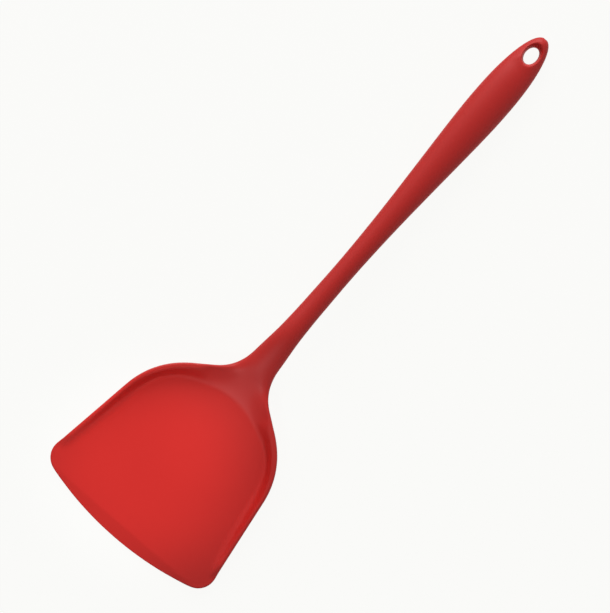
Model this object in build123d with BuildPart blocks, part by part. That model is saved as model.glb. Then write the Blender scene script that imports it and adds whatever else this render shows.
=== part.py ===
from build123d import *
from math import acos, atan, cos, radians, sin, sqrt, tan
import os

# Silicone wok turner: one seamless silicone skin, moulded over a stiff core.
# X runs from the end of the handle to the front edge of the blade, Y goes across and Z is up.
# The turner lies on its back with the hollow side up. The flat underside of the blade and the belly
# of the grip touch the plane z = 0, and the origin is the middle of that footprint.

# Overall sizes, in millimetres
overall_length = 340.0
overrun = 40.0  # how far every cut runs past what it cuts

# Blade in plan
blade_length = 104.1  # from the round back to the front edge
blade_width = 107.3  # between the straight sides, where it is measured
width_setback = 18.0  # from the front edge to where the width is measured
back_radius = 47.3
front_radius = 175.0
corner_radius = 10.0

# Blade section
floor_thickness = 3.0
lip_thickness = 1.5  # at the front edge, before it is rounded
lip_length = 7.0  # bevel from the floor down to the front edge
lip_bend_radius = 10.0
underside_radius = 4.0
rim_height = 10.4  # at the back of the blade
rim_front_height = 5.4  # at the front end of the rim
rim_back_setback = 84.0  # from the front edge to where the rim begins to fall
rim_front_setback = 26.0  # from the front edge to where the rim begins to run out
rim_end_setback = 17.5  # from the front edge to where the rim has run out
rim_bend_radius = 12.0
rim_end_radius = 4.0
rim_round = 0.7  # outer edge of the rim and the front edge

# Hollow of the blade
hollow_back_inset = 10.4  # from the round back to the back of the flat floor
hollow_back_radius = 50.7
hollow_shoulder_radius = 25.0
hollow_width = 100.0  # of the floor, where the blade's width is measured
hollow_side_angle = 12.5  # of the floor's sides to the X axis
wall_angle = 38.0  # inner wall, from the vertical
floor_round = 1.5
fold_radius = 12.0  # where the floor turns up into the ramp

# Neck
neck_width = 11.1  # narrowest place of the handle
neck_thickness = 9.4
neck_setback = 70.9  # from the narrowest place to the back of the blade
neck_height = 16.2  # middle of the neck above the ground
neck_bend_length = 43.0  # over which the neck comes down to the blade
root_width = 15.8  # where the flare begins
flare_radius = 30.0
flare_inset = 0.4  # how deep the neck's end lies inside the back of the blade
ramp_angle = 27.0  # slope from the floor up into the neck
ramp_width = 28.0  # at its foot
ramp_edge = 2.8  # left standing beside the ramp

# Grip and hanging hole
grip_width = 20.9
grip_thickness = 14.0
grip_distance = 41.4  # widest place, from the end of the handle
grip_clearance = 0.05  # under the belly of the grip
end_width = 6.2
end_thickness = 5.8
end_height = 5.8  # middle of the handle's end above the ground
end_round = 2.5
hole_length = 9.9
hole_width = 7.0
hole_distance = 11.1  # from the end of the handle
hole_round = 1.5

# Blade core
plate_thickness = 1.4
plate_inset = 7.0  # inside the outline of the blade
plate_front_setback = 20.0  # leaves the front lip flexible
lock_hole_diameter = 6.0
lock_hole_pitch = 15.0
lock_hole_rows = 4
heel_width = 11.0
heel_thickness = 2.0
heel_clearance = 1.0  # from the heel's end to the bend of the tang

# Tang and rivets
neck_skin = 1.2  # silicone over the rivet heads
tang_width = 6.5
tang_thickness = 1.6
tang_bend_radius = 30.0
tang_foot_length = 20.0  # straight run of the tang on the heel
tang_end_distance = 62.0  # from the end of the handle
tang_hole_diameter = 3.0
tang_hole_pitch = 14.0
rivet_diameter = 3.0
rivet_head_diameter = 5.0
rivet_head_height = 0.7
rivet_pitch = 9.0
rivet_edge = 4.5  # from the heel's end to the first rivet

# Handle core
grip_skin = 2.2  # silicone over the core in the grip
handle_core_start_distance = 26.0
handle_core_end_setback = 15.0  # from the narrowest place of the neck

# Places along X, and the height of the middle of the grip
front_x = overall_length / 2
end_x = -overall_length / 2
back_x = front_x - blade_length
back_centre_x = back_x + back_radius
width_x = front_x - width_setback
grip_x = end_x + grip_distance
neck_x = back_x - neck_setback
hole_x = end_x + hole_distance
hollow_back_x = back_x + hollow_back_inset
grip_height = grip_thickness / 2 + grip_clearance

lip_slope = (floor_thickness - lip_thickness) / lip_length

# The front edge is a small round between the bevel and the underside rounding. It draws the edge back, so
# the outline starts further out.
edge_round = min(rim_round, lip_thickness / 2)
edge_middle_z = lip_thickness + (lip_slope - sqrt(1 + lip_slope**2)) * edge_round
lip_retreat = underside_radius - edge_round
lip_retreat -= sqrt((underside_radius - edge_round) ** 2 - (underside_radius - edge_middle_z) ** 2)

# Each side of the blade is the line through the measured width that touches the round back
width_reach = sqrt((width_x - back_centre_x) ** 2 + (blade_width / 2) ** 2)
touch_angle = atan(blade_width / 2 / (width_x - back_centre_x)) + acos(back_radius / width_reach)
touch_x = back_centre_x + back_radius * cos(touch_angle)
touch_y = back_radius * sin(touch_angle)
side_slope = -1 / tan(touch_angle)

# The neck flares along an arc that just runs into the round back of the blade
flare_centre_y = root_width / 2 + flare_radius
flare_centre_reach = back_radius + flare_radius - flare_inset
flare_centre_x = back_centre_x - sqrt(flare_centre_reach**2 - flare_centre_y**2)
flare_end_x = back_centre_x - (back_centre_x - flare_centre_x) * back_radius / flare_centre_reach

# The ramp plane leaves the floor at the back of the hollow and climbs towards the handle
ramp = Plane(
    origin=(hollow_back_x, 0, floor_thickness),
    x_dir=(-cos(radians(ramp_angle)), 0, sin(radians(ramp_angle))),
    z_dir=(sin(radians(ramp_angle)), 0, cos(radians(ramp_angle))),
)


# Height of the middle of the handle: a straight rise from the end, then an easy bend down to the blade
def middle_height(x):
    bend_start_x = flare_end_x - neck_bend_length
    if x < grip_x:
        share = (x - end_x) / (grip_x - end_x)
        return end_height + (grip_height - end_height) * share
    if x < bend_start_x:
        share = (x - grip_x) / (bend_start_x - grip_x)
        return grip_height + (neck_height - grip_height) * share
    share = min((x - bend_start_x) / neck_bend_length, 1)
    low_height = rim_height / 2
    return neck_height + (low_height - neck_height) * share**2 * (3 - 2 * share)


# Half the width of the flare between the neck and the blade
def flare_half_width(x):
    return flare_centre_y - sqrt(flare_radius**2 - (x - flare_centre_x) ** 2)


# Sections of the handle as (place, width, thickness, fullness). The first fullness gives an ellipse, and
# more gives a boxier section.
ellipse_fullness_share = 0.5523
end_to_grip_shares = (0, 0.12, 0.3, 0.6, 1)
end_width_shares = (0, 0.34, 0.635, 0.89, 1)
end_thickness_shares = (0, 0.26, 0.46, 0.78, 1)
grip_to_neck_shares = (0.25, 0.5, 0.75, 1)
neck_width_shares = (0.776, 0.398, 0.1, 0)
neck_thickness_shares = (0.8, 0.46, 0.15, 0)
root_shares = (0.4, 0.75)
root_width_shares = (0.12, 0.45)
flare_shares = (0, 0.3, 0.55, 0.78, 1)
flare_fullness_shares = (0.58, 0.64, 0.7, 0.75, 0.8)

handle_sections = []
end_table = zip(end_to_grip_shares, end_width_shares, end_thickness_shares)
for place, width_share, thickness_share in end_table:
    x = end_x + (grip_x - end_x) * place
    width = end_width + (grip_width - end_width) * width_share
    thickness = end_thickness + (grip_thickness - end_thickness) * thickness_share
    handle_sections.append((x, width, thickness, ellipse_fullness_share))
grip_table = zip(grip_to_neck_shares, neck_width_shares, neck_thickness_shares)
for place, width_share, thickness_share in grip_table:
    x = grip_x + (neck_x - grip_x) * place
    width = neck_width + (grip_width - neck_width) * width_share
    thickness = neck_thickness + (grip_thickness - neck_thickness) * thickness_share
    handle_sections.append((x, width, thickness, ellipse_fullness_share))
for place, width_share in zip(root_shares, root_width_shares):
    x = neck_x + (flare_centre_x - neck_x) * place
    width = neck_width + (root_width - neck_width) * width_share
    handle_sections.append((x, width, neck_thickness, ellipse_fullness_share))
for place, fullness in zip(flare_shares, flare_fullness_shares):
    x = flare_centre_x + (flare_end_x - flare_centre_x) * place
    thickness = neck_thickness + (rim_height - 2 * flare_inset - neck_thickness) * place
    handle_sections.append((x, 2 * flare_half_width(x), thickness, fullness))

# Faces count as level or parallel when the cosine between their normals is above these
upward_share = 0.8
parallel_share = 0.999

# Core frame in the ramp plane: distances up the ramp and depths under it
tang_top_depth = neck_skin + rivet_head_height
tang_middle_depth = tang_top_depth + tang_thickness / 2
heel_top_depth = tang_top_depth + tang_thickness
plate_bottom = (floor_thickness - plate_thickness) / 2

# The plate's tail under the heel begins where the underside of the blade is flat
plate_tail_x = back_x + underside_radius
plate_tail_end_x = hollow_back_x + plate_inset

# The tang's two straight runs meet where the line of the handle crosses the line of the ramp
handle_slope = (neck_height - grip_height) / (flare_end_x - neck_bend_length - grip_x)
ramp_slope = tan(radians(ramp_angle))
tang_line_height = floor_thickness - tang_middle_depth / cos(radians(ramp_angle))
ramp_line_rise = tang_line_height + ramp_slope * hollow_back_x
handle_line_rise = grip_height - handle_slope * grip_x
bend_x = (ramp_line_rise - handle_line_rise) / (handle_slope + ramp_slope)
bend_z = grip_height + handle_slope * (bend_x - grip_x)
bend_turn = radians(ramp_angle) + atan(handle_slope)
bend_setback = tang_bend_radius * tan(bend_turn / 2)
bend_reach = hollow_back_x - bend_x - tang_middle_depth * sin(radians(ramp_angle))
bend_along = bend_reach / cos(radians(ramp_angle))
heel_end_along = bend_along - bend_setback - heel_clearance
tang_foot_along = bend_along - bend_setback - tang_foot_length
rivet_places = [heel_end_along - rivet_edge - rivet_pitch * index for index in range(2)]

# Rivets: two shanks with a head on the tang and a head sunk flush in the heel
with BuildPart() as tang_rivets:
    for along in rivet_places:
        with BuildSketch(ramp.offset(-neck_skin)):
            with Locations((along, 0)):
                Circle(rivet_head_diameter / 2)
        extrude(amount=-rivet_head_height)
        with BuildSketch(ramp.offset(-heel_top_depth - heel_thickness)):
            with Locations((along, 0)):
                Circle(rivet_head_diameter / 2)
        extrude(amount=rivet_head_height)
        with BuildSketch(ramp.offset(-tang_top_depth)):
            with Locations((along, 0)):
                Circle(rivet_diameter / 2)
        extrude(amount=-tang_thickness - heel_thickness)
tang_rivets.part.label = "tang_rivets"

# Tang: a steel strip that lies on the heel, bends along the neck and ends in the grip
with BuildPart() as handle_tang:
    foot_x = hollow_back_x - tang_foot_along * cos(radians(ramp_angle))
    foot_x -= tang_middle_depth * sin(radians(ramp_angle))
    foot_z = tang_line_height + ramp_slope * (hollow_back_x - foot_x)
    tang_end_x = end_x + tang_end_distance
    tang_end_z = grip_height + handle_slope * (tang_end_x - grip_x)
    with BuildSketch(Plane.XZ):
        with BuildLine() as tang_line:
            FilletPolyline(
                (foot_x, foot_z),
                (bend_x, bend_z),
                (tang_end_x, tang_end_z),
                radius=tang_bend_radius,
            )
        trace(line_width=tang_thickness)
    extrude(amount=tang_width / 2, both=True)
    with BuildSketch(Plane.XY):
        with Locations((tang_end_x + tang_hole_pitch / 2, 0), (tang_end_x + tang_hole_pitch * 3 / 2, 0)):
            Circle(tang_hole_diameter / 2)
    extrude(amount=neck_height + overrun, mode=Mode.SUBTRACT)
    add(tang_rivets.part, mode=Mode.SUBTRACT)
handle_tang.part.label = "handle_tang"


# Outline of the blade on the sketch plane, with the front edge moved out by front_shift
def draw_blade_outline(front_shift):
    side_end_x = front_x + overrun
    side_end_y = touch_y + side_slope * (side_end_x - touch_x)
    with BuildLine() as side_lines:
        ThreePointArc((touch_x, touch_y), (back_x, 0), (touch_x, -touch_y))
        Polyline(
            (touch_x, -touch_y),
            (side_end_x, -side_end_y),
            (side_end_x, side_end_y),
            (touch_x, touch_y),
        )
    make_face(side_lines.edges())
    with Locations((front_x + front_shift - front_radius, 0)):
        Circle(front_radius, mode=Mode.INTERSECT)


# Blade core: a moulded plate with lock holes, and a heel that climbs under the tang
with BuildPart() as blade_core:
    with BuildSketch(Plane.XY.offset(plate_bottom)) as plate_face:
        draw_blade_outline(0)
        offset(amount=-plate_inset)
        with Locations((front_x - plate_front_setback - front_radius, 0)):
            Circle(front_radius, mode=Mode.INTERSECT)
        plate_corners = plate_face.vertices().sort_by(Axis.Y)
        fillet((plate_corners[0], plate_corners[-1]), corner_radius)
        with Locations(((plate_tail_x + plate_tail_end_x) / 2, 0)):
            Rectangle(plate_tail_end_x - plate_tail_x, heel_width)
        with Locations((back_centre_x, 0)):
            with GridLocations(lock_hole_pitch, lock_hole_pitch, lock_hole_rows, lock_hole_rows):
                Circle(lock_hole_diameter / 2, mode=Mode.SUBTRACT)
    extrude(amount=plate_thickness)
    with BuildSketch(ramp.offset(-heel_top_depth)):
        with Locations((heel_end_along / 2, 0)):
            Rectangle(heel_end_along, heel_width)
    extrude(amount=-heel_thickness)
    split(bisect_by=Plane.XY.offset(plate_bottom), keep=Keep.TOP)
    add(tang_rivets.part, mode=Mode.SUBTRACT)
blade_core.part.label = "blade_core"


# Faces across the handle between two places, drawn in by the inset
def handle_faces(from_x, to_x, inset):
    faces = []
    for x, width, thickness, fullness in handle_sections:
        if from_x <= x <= to_x:
            across = width / 2 - inset
            up = thickness / 2 - inset
            section_plane = Plane(origin=(x, 0, middle_height(x)), x_dir=(0, 1, 0), z_dir=(1, 0, 0))
            with BuildSketch(section_plane) as section:
                with BuildLine() as outline:
                    Bezier((across, 0), (across, up * fullness), (across * fullness, up), (0, up))
                    Bezier((0, up), (-across * fullness, up), (-across, up * fullness), (-across, 0))
                    Bezier((-across, 0), (-across, -up * fullness), (-across * fullness, -up), (0, -up))
                    Bezier((0, -up), (across * fullness, -up), (across, -up * fullness), (across, 0))
                make_face()
            faces.append(section.sketch.face())
    return faces


# Handle core: a moulded filler that grips the tang and gives the handle its bulk
with BuildPart() as handle_core:
    loft(handle_faces(hole_x - hole_length, neck_x, grip_skin))
    split(bisect_by=Plane.YZ.offset(end_x + handle_core_start_distance), keep=Keep.TOP)
    split(bisect_by=Plane.YZ.offset(neck_x - handle_core_end_setback), keep=Keep.BOTTOM)
    add(handle_tang.part, mode=Mode.SUBTRACT)
handle_core.part.label = "handle_core"

# Room above the ramp that climbs out of the hollow into the neck
with BuildPart() as ramp_cut:
    with BuildSketch(Plane.XY.offset(floor_thickness)):
        edge_radius = flare_radius + ramp_edge
        ramp_foot_sag = hollow_back_radius - sqrt(hollow_back_radius**2 - (ramp_width / 2) ** 2)
        ramp_start_x = hollow_back_x + ramp_foot_sag + floor_round
        ramp_turn_x = flare_centre_x + sqrt(edge_radius**2 - (flare_centre_y - ramp_width / 2) ** 2)
        ramp_end_y = flare_centre_y - edge_radius
        ramp_middle_x = (ramp_turn_x + flare_centre_x) / 2
        ramp_middle_y = flare_centre_y - sqrt(edge_radius**2 - (ramp_middle_x - flare_centre_x) ** 2)
        with BuildLine():
            Line((ramp_start_x, ramp_width / 2), (ramp_turn_x, ramp_width / 2))
            ThreePointArc(
                (ramp_turn_x, ramp_width / 2),
                (ramp_middle_x, ramp_middle_y),
                (flare_centre_x, ramp_end_y),
            )
            Line((flare_centre_x, ramp_end_y), (flare_centre_x, -ramp_end_y))
            ThreePointArc(
                (flare_centre_x, -ramp_end_y),
                (ramp_middle_x, -ramp_middle_y),
                (ramp_turn_x, -ramp_width / 2),
            )
            Line((ramp_turn_x, -ramp_width / 2), (ramp_start_x, -ramp_width / 2))
            Line((ramp_start_x, -ramp_width / 2), (ramp_start_x, ramp_width / 2))
        make_face()
    extrude(amount=neck_height + rim_height)
    split(bisect_by=ramp, keep=Keep.TOP)

# Hollow of the blade, open over the front edge
with BuildPart() as hollow:
    with BuildSketch(Plane.XY.offset(floor_thickness)) as floor_face:
        hollow_slope = tan(radians(hollow_side_angle))
        hollow_front_x = front_x + overrun
        hollow_front_y = hollow_width / 2 + hollow_slope * (hollow_front_x - width_x)
        hollow_rear_y = hollow_width / 2 - hollow_slope * (width_x - back_x)
        hollow_centre_x = hollow_back_x + hollow_back_radius
        with Locations((hollow_centre_x, 0)):
            Circle(hollow_back_radius)
        with Locations(((hollow_centre_x + hollow_front_x) / 2, 0)):
            Rectangle(hollow_front_x - hollow_centre_x, 2 * hollow_front_y)
        with BuildLine():
            Polyline(
                (back_x, -hollow_rear_y),
                (hollow_front_x, -hollow_front_y),
                (hollow_front_x, hollow_front_y),
                (back_x, hollow_rear_y),
                close=True,
            )
        make_face(mode=Mode.INTERSECT)
        fillet(floor_face.vertices().group_by(Axis.X)[0], hollow_shoulder_radius)
    extrude(amount=rim_height, taper=-wall_angle)
    add(ramp_cut.part)
    fillet(
        hollow.edges().filter_by(Axis.Y).sort_by_distance((hollow_back_x, 0, floor_thickness))[0],
        fold_radius,
    )
    ramp_faces = hollow.faces().filter_by(
        lambda face: abs(face.normal_at().dot(ramp.z_dir)) > parallel_share
    )
    foot_edges = (hollow.faces().sort_by(Axis.Z)[0] + ramp_faces).edges()
    fillet(
        foot_edges.filter_by(lambda edge: abs(edge.center().Y) > ramp_end_y and edge.center().X < front_x),
        floor_round,
    )

# Silicone skin: blade, rim and handle in one, hollow where the core lies
with BuildPart() as silicone_skin:
    with BuildSketch() as blade_face:
        draw_blade_outline(lip_retreat)
        blade_corners = blade_face.vertices().sort_by(Axis.Y)
        fillet((blade_corners[0], blade_corners[-1]), corner_radius)
    extrude(amount=rim_height + overrun)
    fillet(silicone_skin.faces().sort_by(Axis.Z)[0].edges(), underside_radius)
    with BuildSketch(Plane.XZ):
        with BuildLine():
            FilletPolyline(
                (back_x - overrun, rim_height),
                (front_x - rim_back_setback, rim_height),
                (front_x - rim_front_setback, rim_front_height),
                (front_x - rim_end_setback, floor_thickness),
                (front_x - lip_length, floor_thickness),
                (front_x + overrun, floor_thickness - lip_slope * (lip_length + overrun)),
                radius=(rim_bend_radius, rim_bend_radius, rim_end_radius, lip_bend_radius),
            )
            Polyline(
                (front_x + overrun, floor_thickness - lip_slope * (lip_length + overrun)),
                (front_x + overrun, -overrun),
                (back_x - overrun, -overrun),
                (back_x - overrun, rim_height),
            )
        make_face()
    extrude(amount=blade_width, both=True, mode=Mode.INTERSECT)
    top_edges = silicone_skin.faces().filter_by(lambda face: face.normal_at().Z > upward_share).edges()
    fillet(top_edges.filter_by(Axis.Y, reverse=True), edge_round)
    loft(handle_faces(end_x, front_x, 0))
    fillet(silicone_skin.faces().sort_by(Axis.X)[0].edges(), end_round)
    add(hollow.part, mode=Mode.SUBTRACT)
    with BuildSketch(Plane.XY.offset(-overrun)):
        with Locations((hole_x, 0)):
            Ellipse(hole_length / 2, hole_width / 2)
    extrude(amount=2 * overrun + neck_height, mode=Mode.SUBTRACT)
    mouth_edges = silicone_skin.edges(Select.LAST).filter_by(GeomType.LINE, reverse=True)
    fillet(mouth_edges.filter_by_position(Axis.X, hole_x - hole_length, hole_x + hole_length), hole_round)
    for piece in (blade_core, handle_core, handle_tang, tang_rivets):
        add(piece.part, mode=Mode.SUBTRACT)
silicone_skin.part.label = "silicone_skin"

os.makedirs("parts", exist_ok=True)
export_step(silicone_skin.part, "parts/silicone_skin.step")
export_step(blade_core.part, "parts/blade_core.step")
export_step(handle_core.part, "parts/handle_core.step")
export_step(handle_tang.part, "parts/handle_tang.step")
export_step(tang_rivets.part, "parts/tang_rivets.step")
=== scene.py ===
from math import acos, asin, atan2, cos, pi, radians, sin, sqrt, tan

import bmesh
import bpy
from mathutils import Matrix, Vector
from mathutils.bvhtree import BVHTree


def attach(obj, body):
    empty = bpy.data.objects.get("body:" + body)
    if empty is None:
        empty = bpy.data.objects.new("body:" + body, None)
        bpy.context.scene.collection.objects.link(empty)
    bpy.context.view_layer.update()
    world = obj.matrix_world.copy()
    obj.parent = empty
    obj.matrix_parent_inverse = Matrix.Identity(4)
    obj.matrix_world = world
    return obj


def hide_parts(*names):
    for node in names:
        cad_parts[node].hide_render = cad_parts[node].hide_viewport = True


# Silicone wok turner: one red silicone skin, moulded over a nylon and steel core.
# Sizes of the object are in millimetres, places in the studio in metres, and angles in degrees.
# X runs from the end of the handle to the front edge of the blade, and Z up from the ground.

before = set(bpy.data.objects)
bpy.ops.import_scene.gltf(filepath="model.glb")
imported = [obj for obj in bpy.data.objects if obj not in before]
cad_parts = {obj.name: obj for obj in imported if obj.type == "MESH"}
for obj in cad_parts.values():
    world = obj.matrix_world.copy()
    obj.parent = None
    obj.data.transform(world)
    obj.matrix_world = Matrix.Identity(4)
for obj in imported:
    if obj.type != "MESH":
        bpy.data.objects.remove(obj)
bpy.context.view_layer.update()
mm = 0.001
print("frame loaded")

# The blade, and its mesh of columns across the wall and rows along it
bladeShape = {
    "frontX": 170.0,
    "frontRadius": 175.0,
    "backX": 65.9,
    "backRadius": 47.3,
    "widthX": 152.0,  # the straight side passes here at the half width
    "halfWidth": 53.65,
    "cornerRadius": 10.0,
    "middleX": 120.0,  # middle of the loops that close the floor and the underside
    "floor": 3.0,
    "bevelX": 163.0,  # the floor falls from here to the front edge
    "frontThickness": 1.5,
    "hollowBackX": 76.3,  # back of the floor, at the foot of the ramp
    "hollowBackRadius": 50.7,
    "steepX": 85.0,  # the wall is steep behind this place
    "softX": 118.0,  # and soft in front of this one
    "rimHeight": 10.4,
    "rimFrontHeight": 5.4,
    "rimFallX": 86.0,
    "rimFrontX": 144.0,
    "rimFallCurve": 0.6,  # how far the fall eases off again towards its lower end
    "rimSinkX": 145.5,  # the rim sinks into the floor from here
    "rimEndX": 153.0,
    "lipWidth": 2.0,
    "lipRound": 0.5,  # from the lip's inner edge to the flat of its top
    "edgeRound": 0.6,  # from the outline to the flat of the lip's top
    "edgeDrop": 0.9,  # from the lip's top down to the widest place
    "edgeShare": 0.3,  # the most that this drop takes of the height
    "undersideRadius": 4.0,
    "turnShare": 0.8,  # the underside's round starts no higher than this share of the widest place
    "undersideMargin": 2.5,  # from the end of that round to the last row, on the flat underside
}
# Columns of the blade's mesh from the middle of the back to the middle of the front, on one side:
# angles round the back, then shares of the straight side, the corner and the front
backAngles = (0, 10, 20.5, 31, 37, 43, 49, 54.5, 60, 65.5, 71, 76.3)
sideShares = (0, 0.12, 0.25, 0.38, 0.51, 0.64, 0.76, 0.85, 0.93, 1)
cornerShares = (0.25, 0.5, 0.75, 1)
frontShares = (1 / 7, 2 / 7, 3 / 7, 4 / 7, 5 / 7, 6 / 7, 1)
halfColumns = len(backAngles) + len(sideShares) + len(cornerShares) + len(frontShares) - 1
allColumns = 2 * halfColumns
neckColumns = 3  # on each side of the middle, where the blade runs into the neck
# How far the outline lies inside the round of the back, where it sweeps into the neck
shoulderDrops = (0, 0, 0, 0.25, 0.45, 0.37, 0.24, 0.13, 0.05, 0, 0, 0)
# Foot of the wall, column by column: at these angles round the back of the floor, by the neck,
# and then this far inside the outline
floorAngles = (0, 6.5, 13, 19.5)
wallInsets = (8.4, 7.8, 7.2, 6.7, 6.4, 6.4, 6.5, 6.7, 6.8, 6.9, 6.9, 6.8, 6.7, 6.5, 6.3, 6.1, 6.0, 6.0)
wallInsets += (6.1, 6.3, 6.5, 6.8, 7.0, 7.0, 7.0, 7.0, 7.0, 7.0, 7.0)
# Along the wall from its foot to the lip: share of the run, then of the rise at the back and at the sides
wallProfile = ((0, 0, 0), (0.24, 0.08, 0.06), (0.54, 0.46, 0.24), (0.92, 0.95, 0.78))
undersideTurns = 3  # rows that turn from the edge to the flat underside
# Loops on the floor and on the underside, as shares of the way from the middle to the edge
floorLoops = (0.94, 0.8, 0.6, 0.38)
undersideLoops = (0.8, 0.6, 0.38)
# Rows of the mesh are numbered from 0 over the blade's wall and edge, and from these numbers elsewhere
floorRow = -100
undersideRow = 50
handleRow = 100
holeRow = 300


# Place on the blade's outline and the direction straight out of it
def outlinePlace(column):
    b = bladeShape
    backCentre = Vector((b["backX"] + b["backRadius"], 0, 0))
    reach = Vector((b["widthX"], b["halfWidth"], 0)) - backCentre
    touch = atan2(reach.y, reach.x) + acos(b["backRadius"] / reach.length)
    sideOut = Vector((cos(touch), sin(touch), 0))
    sideAlong = Vector((sin(touch), -cos(touch), 0))
    frontCentre = Vector((b["frontX"] - b["frontRadius"], 0, 0))
    if column < len(backAngles):
        out = Vector((-cos(radians(backAngles[column])), sin(radians(backAngles[column])), 0))
        return backCentre + out * (b["backRadius"] - shoulderDrops[column]), out
    start = backCentre + sideOut * (b["backRadius"] - b["cornerRadius"])
    away = start - frontCentre
    along = away.dot(sideAlong)
    side = sqrt(along**2 - away.length_squared + (b["frontRadius"] - b["cornerRadius"]) ** 2) - along
    cornerCentre = start + sideAlong * side
    frontTurn = atan2(cornerCentre.y, cornerCentre.x - frontCentre.x)
    column -= len(backAngles)
    if column < len(sideShares):
        edge = start + sideOut * b["cornerRadius"]
        return edge + sideAlong * side * sideShares[column], sideOut
    column -= len(sideShares)
    if column < len(cornerShares):
        turn = touch + (frontTurn - touch) * cornerShares[column]
        out = Vector((cos(turn), sin(turn), 0))
        return cornerCentre + out * b["cornerRadius"], out
    column -= len(cornerShares)
    turn = frontTurn * (1 - frontShares[column])
    out = Vector((cos(turn), sin(turn), 0))
    return frontCentre + out * b["frontRadius"], out


def blend(start, end, share):
    return start + (end - start) * share


# How far along a value lies between two places, from 0 to 1
def between(value, low, high):
    return min(max((value - low) / (high - low), 0), 1)


# The same, with an easy start and end
def easy(value, low, high):
    share = between(value, low, high)
    return share * share * (3 - 2 * share)


# How far the floor and the rim have come down on the bevel
def bevelDrop(x):
    b = bladeShape
    slope = (b["floor"] - b["frontThickness"]) / (b["frontX"] - b["bevelX"])
    return slope * max(x - b["bevelX"], 0)


def floorTop(x):
    return bladeShape["floor"] - bevelDrop(x)


# Height of the rim's lip, which falls towards the front and ends in the floor
def rimTop(x):
    b = bladeShape
    share = between(x, b["rimFallX"], b["rimFrontX"])
    curve = b["rimFallCurve"]
    height = blend(b["rimHeight"], b["rimFrontHeight"], share * share * (1 + curve - curve * share))
    return blend(height, b["floor"], easy(x, b["rimSinkX"], b["rimEndX"])) - bevelDrop(x)


# A column's number as counted from the middle of the back, below 0 on the second side
def sideColumn(number):
    return number if number <= halfColumns else number - allColumns


# One column of the blade's mesh: its places from the foot of the wall over the lip to the underside
def bladeRows(column):
    b = bladeShape
    side = sideColumn(column)
    half = abs(side)
    edge, out = outlinePlace(half)
    top = rimTop(edge.x)

    def inset(distance, height):
        place = edge - out * distance
        place.z = height
        return place

    def onLip(distance):
        place = inset(distance, 0)
        place.z = rimTop(place.x)
        return place

    if half < len(floorAngles):
        radius = b["hollowBackRadius"]
        turn = radians(floorAngles[half])
        foot = Vector((b["hollowBackX"] + radius - radius * cos(turn), radius * sin(turn), 0))
    else:
        foot = inset(wallInsets[half - len(floorAngles)], 0)
    lipEdge = inset(b["lipWidth"], 0)
    base = floorTop(foot.x)
    rise = max(top - floorTop(lipEdge.x), 0)
    fromBack = easy(edge.x, b["steepX"], b["softX"])
    fromNeck = easy(half, neckColumns - 2, neckColumns + 2)
    rows = []
    for run, steep, soft in wallProfile:
        # Next to the ramp the wall rises evenly
        steep = blend(run, steep, fromNeck)
        place = blend(foot, lipEdge, run)
        place.z = min(base, floorTop(place.x)) + rise * blend(steep, soft, fromBack)
        rows.append(place)
    rows.append(onLip(b["lipWidth"] - b["lipRound"]))

    # The underside's round starts from the widest place, so that the outline stays where it is
    radius = b["undersideRadius"]

    def under(height):
        return radius - sqrt(radius**2 - (radius - height) ** 2) if height < radius else 0

    drop = min(b["edgeDrop"], b["edgeShare"] * top)
    widest = top - drop
    drawn = under(widest)
    # The lip's outer edge: the end of its flat, a place on its round, and the widest place
    rows.append(onLip(b["edgeRound"] + under(top) - drawn))
    rows.append(inset(b["edgeRound"] / 4 + under(top) - drawn, top - drop / 3))
    rows.append(inset(0, widest))
    turnHeight = min(radius, widest * b["turnShare"])
    rows.append(inset(under(turnHeight) - drawn, turnHeight))
    startTurn = asin((radius - turnHeight) / radius)
    for step in range(1, undersideTurns + 1):
        turn = blend(startTurn, pi / 2, step / undersideTurns)
        rows.append(inset(radius - radius * cos(turn) - drawn, radius - radius * sin(turn)))
    rows.append(inset(radius + b["undersideMargin"] - drawn, 0))
    if side < 0:
        for place in rows:
            place.y = -place.y
    return rows


# Select only these points of the mesh in edit mode
def selectPoints(mesh, points):
    bpy.ops.mesh.select_all(action="DESELECT")
    for point in points:
        point.select_set(True)
    mesh.select_flush_mode()


# Move one point to its place
def movePoint(mesh, point, place):
    selectPoints(mesh, [point])
    bpy.ops.transform.translate(value=place * mm - point.co)


# The numbers of a point's column and row ride on it as attributes, which extruding copies
def openMesh(piece):
    mesh = bmesh.from_edit_mesh(piece.data)
    mesh.verts.ensure_lookup_table()
    return mesh, mesh.verts.layers.int["column"], mesh.verts.layers.int["row"]


# Extrude the selected loop and move each new point to its column's place
def extrudeLoop(piece, places, rowNumber):
    bpy.ops.mesh.extrude_edges_move()
    mesh, column, row = openMesh(piece)
    loop = [point for point in mesh.verts if point.select]
    for point in loop:
        point[row] = rowNumber
        movePoint(mesh, point, places[point[column]])
    selectPoints(mesh, loop)


# Fill the selected loop with a grid of faces, with a quarter of the loop on each side
def fillLoop(piece, sides):
    corner = sides // 8  # so that the grid lies square to the handle
    mesh, column, row = openMesh(piece)
    for point in mesh.verts:
        if point.select and point[column] == corner:
            mesh.select_history.clear()
            mesh.select_history.add(point)
    bpy.ops.mesh.fill_grid(span=sides // 4)


# Select the loops round the openings of the mesh
def selectRim():
    bpy.ops.mesh.select_all(action="DESELECT")
    bpy.ops.mesh.select_non_manifold()


# Delete the faces whose points all pass a test of column and row, and select the loop round the opening
def cutOpening(piece, isInside):
    bpy.ops.mesh.select_mode(type="FACE")
    bpy.ops.mesh.select_all(action="DESELECT")
    mesh, column, row = openMesh(piece)
    for face in mesh.faces:
        face.select_set(all(isInside(point[column], point[row]) for point in face.verts))
    bpy.ops.mesh.delete(type="FACE")
    bpy.ops.mesh.select_mode(type="VERT")
    selectRim()


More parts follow.
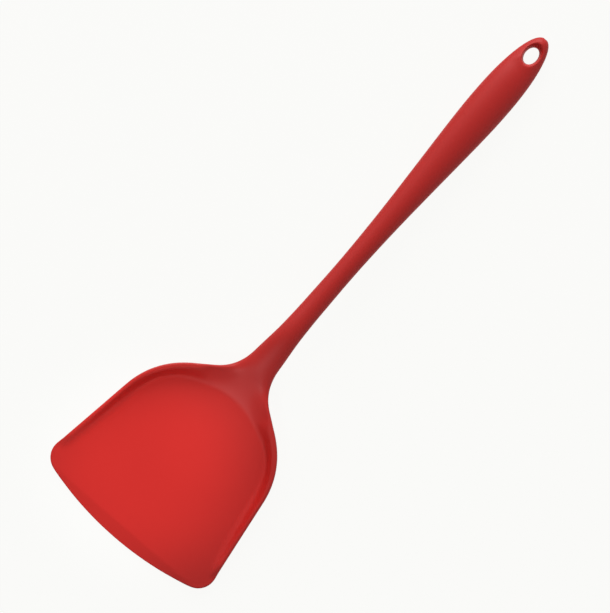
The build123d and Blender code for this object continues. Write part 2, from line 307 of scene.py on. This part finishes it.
# Close the floor or the underside with loops that shrink towards the middle and a grid in the last one
def closeBlade(skin, edge, shares, heightAt, firstRow):
    middle = Vector((bladeShape["middleX"], 0, 0))
    for step, share in enumerate(shares):
        places = [middle + (place - middle) * share for place in edge]
        for place in places:
            place.z = heightAt(place.x)
        extrudeLoop(skin, places, firstRow + step)
    fillLoop(skin, allColumns)


# The silicone skin's blade: floor, walls, rim and underside, from one loop at the floor's edge
def makeBlade(skin, columns):
    mesh, column, row = openMesh(skin)
    circle = list(mesh.verts)
    for point in circle:
        movePoint(mesh, point, columns[point[column]][0])
    selectPoints(mesh, circle)
    closeBlade(skin, [places[0] for places in columns], floorLoops, floorTop, floorRow)
    selectRim()
    for rowNumber in range(1, len(columns[0])):
        extrudeLoop(skin, [places[rowNumber] for places in columns], rowNumber)
    closeBlade(skin, [places[-1] for places in columns], undersideLoops, lambda x: 0, undersideRow)


# The neck and the handle
handleShape = {
    "rampFoot": 75.1,  # where the ramp would come down to the floor
    "rampSlope": 27.0,
    "lipWidth": 2.0,
    "lipStart": 67.0,
    "lipEnd": 55.0,  # where the lips have run out into the neck
    "shoulderFill": 0.85,  # added to each side where the neck meets the blade
    "fillStart": 62.0,
    "fillEnd": 70.0,
    "sideFullness": 0.6,  # roundness of the lipped stretch below its lips, where an ellipse has 1
    "bottomFullness": 0.7,
    "endX": -170.0,
    "gripX": -130.0,  # widest place of the grip
    "gripHalf": 10.4,
    "noseFullness": 0.44,  # roundness of the end, where an ellipse has 0.5
    "holeX": -158.6,
    "holeLength": 9.9,
    "holeWidth": 7.0,
    "mouth": 2.1,  # width of the dish round the hole
    "mouthSide": 1.3,
    "lowerDish": 0.6,  # size of the dish below as a share of the upper one
    "dishShift": 0.7,  # the dish reaches further towards the end of the handle
    "openHalfLength": 7.5,  # about the opening in the rings that the dish starts from
    "openHalfWidth": 4.9,
}
# Rings round the handle, from the blade to the handle's end
holeStations = (-150.5, -153.1, -155.8, -158.6, -161.5, -164.2, -166.7)
neckStations = (69.5, 65.5, 61.3, 57, 52, 46.5, 40, 33, 25, 16, 6, -5, -18, -32, -47, -62, -77, -92)
neckStations += (-106, -118, -127, -134.5, -141, -146.3) + holeStations + (-168.2, -169.2, -169.8)
ringSides = 36  # as many as there are points round the opening at the back of the blade
openColumns = 5  # on each side of the middle, opened above and below for the hole
# How far the first rings lean like the curved back of the blade
leanShares = (0.45, 0.2, 0.06)
# Across the ramp: share of the way from its middle to the lip, then of its depth
rampProfile = ((0, 1), (0.24, 0.98), (0.46, 0.88), (0.65, 0.66))
rampProfile += ((0.74, 0.5), (0.845, 0.3), (0.965, 0.05), (1, 0))
# Over the lip beside the ramp: share of its width, then the drop below its top
lipProfile = ((0.6, 0.05), (0.93, 0.3), (1, 1.0))
# The dished mouth of the hole: share of its width, then the depth
dishProfile = ((1, 0), (0.76, 0.5), (0.42, 1.8), (0.12, 3.3), (0, 4.2))

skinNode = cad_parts["silicone_skin"]
skinTree = BVHTree.FromObject(skinNode, bpy.context.evaluated_depsgraph_get())
rayStart = 100.0  # well outside the handle
rayAside = 0.05  # beside the middle, where edges of the solid's triangles may lie


# Place where a ray from outside meets the solid, in millimetres
def solidPlace(start, way):
    return skinTree.ray_cast(Vector(start) * mm, Vector(way))[0] / mm


# Half width, bottom and top of the handle, measured on the solid, and across the hole from beside it
def handleSize(x):
    h = handleShape
    reach = h["holeLength"] / 2 + h["mouth"] + h["dishShift"]
    hair = 0.01  # keeps the two ends of the reach outside it, where they are measured
    if abs(x - h["holeX"]) < reach - hair:
        share = (x - h["holeX"] + reach) / (2 * reach)
        low = handleSize(h["holeX"] - reach)
        high = handleSize(h["holeX"] + reach)
        bottom = blend(low[1], high[1], share)
        top = blend(low[2], high[2], share)
    else:
        bottom = solidPlace((x, rayAside, -rayStart), (0, 0, 1)).z
        top = solidPlace((x, rayAside, rayStart), (0, 0, -1)).z
    half = solidPlace((x, rayStart, (top + bottom) / 2), (0, -1, 0)).y
    if x > h["lipEnd"]:
        top = max(top, bladeShape["rimHeight"])
        half += h["shoulderFill"] * easy(x, h["fillStart"], h["fillEnd"])
    if x < h["gripX"]:
        # The nose is rounder than the solid's filleted end
        toGrip = (h["gripX"] - x) / (h["gripX"] - h["endX"])
        nose = h["gripHalf"] * (1 - toGrip**2) ** h["noseFullness"]
        middle = (top + bottom) / 2
        thinner = min(nose / half, 1)
        half, bottom, top = nose, blend(middle, bottom, thinner), blend(middle, top, thinner)
    return half, bottom, top


# One point of a ring round the handle: an ellipse, and near the blade a ramp between two lips
def handlePoint(x, index):
    h = handleShape
    half, bottom, top = handleSize(x)
    turn = 2 * pi * index / ringSides
    oval = Vector((x, half * sin(turn), (top + bottom) / 2 + (top - bottom) / 2 * cos(turn)))
    rise = tan(radians(h["rampSlope"])) * max(h["rampFoot"] - x, 0)
    depth = max(top - bladeShape["floor"] - rise, 0)
    crest = half - h["lipWidth"]
    lipIndex = len(rampProfile)
    sideIndex = lipIndex + len(lipProfile)
    if index < lipIndex:
        share, down = rampProfile[index]
        shaped = Vector((x, crest * share, top - depth * down))
    elif index < sideIndex:
        share, drop = lipProfile[index - lipIndex]
        shaped = Vector((x, blend(crest, half, share), top - drop))
    else:
        level = bottom + min(bladeShape["undersideRadius"], (top - bottom) / 2)
        swing = (index - sideIndex) / (ringSides // 2 - sideIndex) * pi / 2
        side = half * max(cos(swing), 0) ** h["sideFullness"]
        shaped = Vector((x, side, level - (level - bottom) * sin(swing) ** h["bottomFullness"]))
    return blend(oval, shaped, easy(x, h["lipEnd"], h["lipStart"]))


# A ring round the handle. The first ones lean like the half ring on the blade that they start from.
def handleRing(x, first, lean):
    half = [handlePoint(blend(x, place.x, lean), index) for index, place in enumerate(first)]
    other = [Vector((place.x, -place.y, place.z)) for place in half[1:-1]]
    return half + other[::-1]


# The neck and the handle: the blade is opened at its back, and the opening is drawn out ring by ring
def makeHandle(skin, columns):
    lastRow = len(columns[0]) - 1
    cutOpening(skin, lambda number, ring: abs(sideColumn(number)) <= neckColumns and 0 <= ring <= lastRow)

    # The points round the opening get the column numbers of a ring, from the top round to the bottom
    mesh, column, row = openMesh(skin)
    for point in [point for point in mesh.verts if point.select]:
        side = sideColumn(point[column])
        place = abs(side)
        if 0 < point[row] < lastRow:
            place = neckColumns + point[row]
        elif point[row] == lastRow:
            place = ringSides // 2 - place
        point[column] = place if side >= 0 else ringSides - place
    first = [columns[number][0] for number in range(neckColumns)] + columns[neckColumns]
    first += [columns[number][lastRow] for number in reversed(range(neckColumns))]
    for step, x in enumerate(neckStations):
        lean = leanShares[step] if step < len(leanShares) else 0
        extrudeLoop(skin, handleRing(x, first, lean), handleRow + step)
    fillLoop(skin, ringSides)


# The hanging hole, with a dished mouth above and below
def makeHole(skin):
    h = handleShape
    rings = [handleRow + neckStations.index(x) for x in holeStations]
    for middle, outward, dish in ((0, 1, 1), (ringSides // 2, -1, h["lowerDish"])):
        numbers = [(middle + step) % ringSides for step in range(-openColumns, openColumns + 1)]
        cutOpening(skin, lambda number, ring: number in numbers and ring in rings)
        mesh, column, row = openMesh(skin)
        # The upper dish is still open when the lower one is made, but its rows have higher numbers
        loop = [point for point in mesh.verts if point.select and point[row] < holeRow]
        turns = []
        for number, point in enumerate(loop):
            point[column] = number
            sideways = point.co.y / h["openHalfWidth"]
            lengthways = (point.co.x - h["holeX"] * mm) / h["openHalfLength"]
            turns.append(atan2(sideways, lengthways))
        selectPoints(mesh, loop)
        for step, (share, sink) in enumerate(dishProfile):
            share *= dish
            places = []
            for turn in turns:
                reach = h["holeLength"] / 2 + h["mouth"] * share
                x = h["holeX"] - h["dishShift"] * share + reach * cos(turn)
                y = (h["holeWidth"] / 2 + h["mouthSide"] * share) * sin(turn)
                half, bottom, top = handleSize(x)
                swell = (top - bottom) / 2 * sqrt(max(1 - (y / half) ** 2, 0))
                places.append(Vector((x, y, (top + bottom) / 2 + outward * (swell - sink * dish))))
            extrudeLoop(skin, places, holeRow + step)
    selectRim()
    bpy.ops.mesh.bridge_edge_loops()


# Move the points out by what smoothing takes off, so that the smooth surface passes through their places.
# None goes below the ground.
def holdShape(piece, rounds):
    wanted = [point.co.copy() for point in piece.data.vertices]
    for _ in range(rounds):
        smooth = piece.evaluated_get(bpy.context.evaluated_depsgraph_get()).data
        normals = [point.normal.copy() for point in piece.data.vertices]
        for point, place, normal in zip(piece.data.vertices, wanted, normals):
            point.co += normal * normal.dot(place - smooth.vertices[point.index].co)
            point.co.z = max(point.co.z, 0)
        piece.data.update()


smoothLevels = 2
holdRounds = 3  # how often the points are moved, each time nearer to their places


def makeSkin():
    b = bladeShape
    bpy.ops.object.select_all(action="DESELECT")
    bpy.ops.mesh.primitive_circle_add(
        vertices=allColumns,
        radius=b["backRadius"] * mm,
        location=(b["middleX"] * mm, 0, b["floor"] * mm),
    )
    bpy.ops.object.transform_apply(location=True)
    skin = bpy.context.object
    skin.name = "red_silicone_skin"
    for name in ("column", "row"):
        skin.data.attributes.new(name, "INT", "POINT")
    for point in skin.data.vertices:
        turn = atan2(point.co.y, b["middleX"] * mm - point.co.x) / (2 * pi) * allColumns
        skin.data.attributes["column"].data[point.index].value = round(turn) % allColumns
    columns = [bladeRows(number) for number in range(allColumns)]
    bpy.ops.object.mode_set(mode="EDIT")
    makeBlade(skin, columns)
    print("blade modelled")
    makeHandle(skin, columns)
    print("handle modelled")
    makeHole(skin)
    print("hanging hole modelled")
    bpy.ops.mesh.select_all(action="SELECT")
    bpy.ops.mesh.normals_make_consistent(inside=False)
    bpy.ops.object.mode_set(mode="OBJECT")
    for name in ("column", "row"):
        skin.data.attributes.remove(skin.data.attributes[name])
    smoothing = skin.modifiers.new("smoothing", "SUBSURF")
    smoothing.levels = smoothLevels
    smoothing.render_levels = smoothLevels
    holdShape(skin, holdRounds)
    bpy.ops.object.modifier_apply(modifier=smoothing.name)
    bpy.ops.object.shade_smooth()
    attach(skin, "root")
    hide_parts("silicone_skin")
    print("silicone skin finished")
    return skin


skin = makeSkin()


# Materials

# sRGB hex to linear colour
def linearColour(hexCode):
    parts = [int(hexCode[place : place + 2], 16) / 255 for place in (1, 3, 5)]
    return [*(((part + 0.055) / 1.055) ** 2.4 if part > 0.04045 else part / 12.92 for part in parts), 1]


# Add a node with its settings, its input values and its links. Inputs go by name or number.
# The owner is a material or the world.
def addNode(owner, kind, settings=None, values=None, links=None):
    node = owner.node_tree.nodes.new(kind)
    for name, value in (settings or {}).items():
        setattr(node, name, value)
    for name, value in (values or {}).items():
        node.inputs[name].default_value = value
    for name, source in (links or {}).items():
        owner.node_tree.links.new(source, node.inputs[name])
    return node


def newMaterial(name):
    material = bpy.data.materials.new(name)
    material.use_nodes = True
    material.node_tree.nodes.clear()
    return material


patternDetail = {"mottle": 2, "grain": 3}
patternRoughness = 0.55


# A material of two near colours in a slow pattern, the mottle, with a fine grain in the surface.
# Each pattern repeats about once in its millimetres along X, Y and Z.
def finishedMaterial(name, finish):
    material = newMaterial(name)
    place = addNode(material, "ShaderNodeTexCoord")
    patterns = {}
    for kind, detail in patternDetail.items():
        scaled = addNode(
            material,
            "ShaderNodeMapping",
            values={"Scale": [1 / (size * mm) for size in finish[kind]]},
            links={"Vector": place.outputs["Object"]},
        )
        patterns[kind] = addNode(
            material,
            "ShaderNodeTexNoise",
            values={"Scale": 1, "Detail": detail, "Roughness": patternRoughness},
            links={"Vector": scaled.outputs["Vector"]},
        )
    # Inputs 6 and 7 and output 2 of this node are its colours
    colour = addNode(
        material,
        "ShaderNodeMix",
        settings={"data_type": "RGBA"},
        values={6: linearColour(finish["colour"]), 7: linearColour(finish["otherColour"])},
        links={"Factor": patterns["mottle"].outputs["Fac"]},
    )
    bump = addNode(
        material,
        "ShaderNodeBump",
        values={"Strength": finish["bump"], "Distance": finish["grainDepth"] * mm},
        links={"Height": patterns["grain"].outputs["Fac"]},
    )
    surface = addNode(
        material,
        "ShaderNodeBsdfPrincipled",
        values={"IOR": finish["ior"], "Roughness": finish["roughness"], "Metallic": finish["metallic"]},
        links={"Base Color": colour.outputs[2], "Normal": bump.outputs["Normal"]},
    )
    addNode(material, "ShaderNodeOutputMaterial", links={"Surface": surface.outputs["BSDF"]})
    return material


# Silicone rubber, compression moulded in a spark-eroded tool: satin, soft, coloured through.
# The grain is drawn coarser than its real 0.05 mm, so that it shows.
siliconeFinish = {
    "colour": "#D32721",
    "otherColour": "#CE241F",
    "mottle": (38.0, 38.0, 38.0),
    "grain": (0.45, 0.45, 0.45),
    "grainDepth": 0.04,
    "bump": 0.12,
    "ior": 1.41,
    "roughness": 0.5,
    "metallic": 0.0,
}
# Nylon with glass fibre, injection moulded: dark and dull, with the flow of the fibres along it.
# The grain is drawn coarser than the real fibres, which are about 0.01 mm thick and 0.3 mm long.
nylonFinish = {
    "colour": "#2E3033",
    "otherColour": "#3C3E41",
    "mottle": (14.0, 3.0, 3.0),
    "grain": (0.8, 0.3, 0.3),
    "grainDepth": 0.03,
    "bump": 0.3,
    "ior": 1.53,
    "roughness": 0.58,
    "metallic": 0.0,
}
# Stainless steel strip, cold rolled and stamped: fine lines along the strip and a soft sheen.
# The lines are drawn coarser than the roll's real ones, which are about 0.03 mm apart.
steelFinish = {
    "colour": "#B9BBBD",
    "otherColour": "#A7A9AC",
    "mottle": (30.0, 4.0, 4.0),
    "grain": (12.0, 0.25, 0.25),
    "grainDepth": 0.01,
    "bump": 0.5,
    "ior": 1.5,
    "roughness": 0.34,
    "metallic": 1.0,
}

silicone = finishedMaterial("moulded satin silicone rubber, red", siliconeFinish)
nylon = finishedMaterial("moulded glass-filled nylon, dark grey", nylonFinish)
steel = finishedMaterial("cold-rolled stainless steel strip", steelFinish)
skin.data.materials.append(silicone)
coreMaterials = {"blade_core": nylon, "handle_core": nylon, "handle_tang": steel, "tang_rivets": steel}
for name, material in coreMaterials.items():
    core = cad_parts[name]
    core.data.materials.clear()
    core.data.materials.append(material)
print("materials made")

# Floor, light and camera
studio = {
    "floorSize": 8.0,
    "floorGap": 0.0002,  # below the object
    "paper": "#E1E1E1",
    "background": "#FAFAF8",  # glow over the paper, for the camera and in reflections
    "paperGlow": 1.05,
    "glowShare": 0.93,
    "worldStrength": 0.19,
    "glossStrength": 1.5,  # the world as glossy surfaces reflect it
    "cameraPlace": (0.01555, -0.00335, 2.5),
    "cameraTurn": 130.98,
    "lens": 283.8,  # millimetres
    "clipEnd": 20.0,
}
# A lamp that doesn't shine gives no highlight
lamps = {
    "softbox": {
        "kind": "AREA",
        "aim": (0.02, 0),
        "tilt": 65.0,
        "turn": 50.0,
        "distance": 2.4,
        "size": 2.1,
        "power": 42.0,
        "shines": True,
    },
    "blade_spot": {
        "kind": "SPOT",
        "aim": (0.134, -0.013),
        "tilt": 8.0,
        "turn": 0.0,
        "distance": 0.5,
        "size": 0.02,
        "power": 4.65,
        "beam": 16.0,
        "softEdge": 0.95,
        "shines": False,
    },
    "neck_spot": {
        "kind": "SPOT",
        "aim": (0.066, 0),
        "tilt": 40.0,
        "turn": -90.0,
        "distance": 0.5,
        "size": 0.06,
        "power": 3.9,
        "beam": 7.2,
        "softEdge": 0.95,
        "shines": True,
    },
}


# Direction towards a light, tilted from straight up. A turn of 0 tilts it to the photograph's upper left,
# and one of 90 to the end of the handle.
def lightDirection(tilt, turn):
    out = sin(radians(tilt))
    return Vector((-out * sin(radians(turn)), -out * cos(radians(turn)), cos(radians(tilt))))


# 1 for these kinds of rays and 0 for the others
def seenDirectly(owner, kinds):
    ray = addNode(owner, "ShaderNodeLightPath")
    seen = ray.outputs[kinds[0]]
    for kind in kinds[1:]:
        links = {0: seen, 1: ray.outputs[kind]}
        seen = addNode(owner, "ShaderNodeMath", settings={"operation": "MAXIMUM"}, links=links).outputs[0]
    return seen


# Matt white paper, seen as a plain bright background that still takes a little of the shadow
def makeFloor():
    s = studio
    bpy.ops.object.select_all(action="DESELECT")
    bpy.ops.mesh.primitive_plane_add(size=s["floorSize"], location=(0, 0, -s["floorGap"]))
    floor = bpy.context.object
    floor.name = "studio_floor"
    paper = newMaterial("matt white studio paper")
    seen = seenDirectly(paper, ("Is Camera Ray", "Is Glossy Ray", "Is Transmission Ray"))
    share = addNode(
        paper,
        "ShaderNodeMath",
        settings={"operation": "MULTIPLY"},
        values={1: s["glowShare"]},
        links={0: seen},
    )
    matt = addNode(paper, "ShaderNodeBsdfDiffuse", values={"Color": linearColour(s["paper"])})
    glow = addNode(
        paper,
        "ShaderNodeEmission",
        values={"Color": linearColour(s["background"]), "Strength": s["paperGlow"]},
    )
    mixed = addNode(
        paper,
        "ShaderNodeMixShader",
        links={0: share.outputs[0], 1: matt.outputs[0], 2: glow.outputs[0]},
    )
    addNode(paper, "ShaderNodeOutputMaterial", links={"Surface": mixed.outputs[0]})
    floor.data.materials.append(paper)


# A white world that lights the object from all sides, and is brighter in reflections
def makeWorld():
    s = studio
    world = bpy.data.worlds.new("studio")
    bpy.context.scene.world = world
    world.use_nodes = True
    strength = addNode(
        world,
        "ShaderNodeMapRange",
        values={"To Min": s["worldStrength"], "To Max": s["glossStrength"]},
        links={"Value": seenDirectly(world, ("Is Glossy Ray", "Is Transmission Ray"))},
    )
    sky = world.node_tree.nodes["Background"]
    sky.inputs["Color"].default_value = (1, 1, 1, 1)
    world.node_tree.links.new(strength.outputs["Result"], sky.inputs["Strength"])


def makeLamps():
    for name, lamp in lamps.items():
        away = lightDirection(lamp["tilt"], lamp["turn"])
        bpy.ops.object.light_add(
            type=lamp["kind"],
            location=Vector((*lamp["aim"], 0)) + away * lamp["distance"],
            rotation=away.to_track_quat("Z", "Y").to_euler(),
        )
        light = bpy.context.object
        light.name = name
        light.data.energy = lamp["power"]
        light.visible_glossy = lamp["shines"]
        if lamp["kind"] == "SPOT":
            light.data.shadow_soft_size = lamp["size"] / 2
            light.data.spot_size = radians(lamp["beam"])
            light.data.spot_blend = lamp["softEdge"]
        else:
            light.data.shape = "DISK"
            light.data.size = lamp["size"]


# The camera looks straight down, as in the photograph
def makeCamera():
    s = studio
    bpy.ops.object.camera_add(location=s["cameraPlace"], rotation=(0, 0, radians(s["cameraTurn"])))
    camera = bpy.context.object
    camera.data.lens = s["lens"]
    camera.data.clip_end = s["clipEnd"]
    bpy.context.scene.camera = camera
    bpy.context.scene.view_settings.view_transform = "Standard"


makeFloor()
makeWorld()
makeLamps()
makeCamera()
print("studio set up")
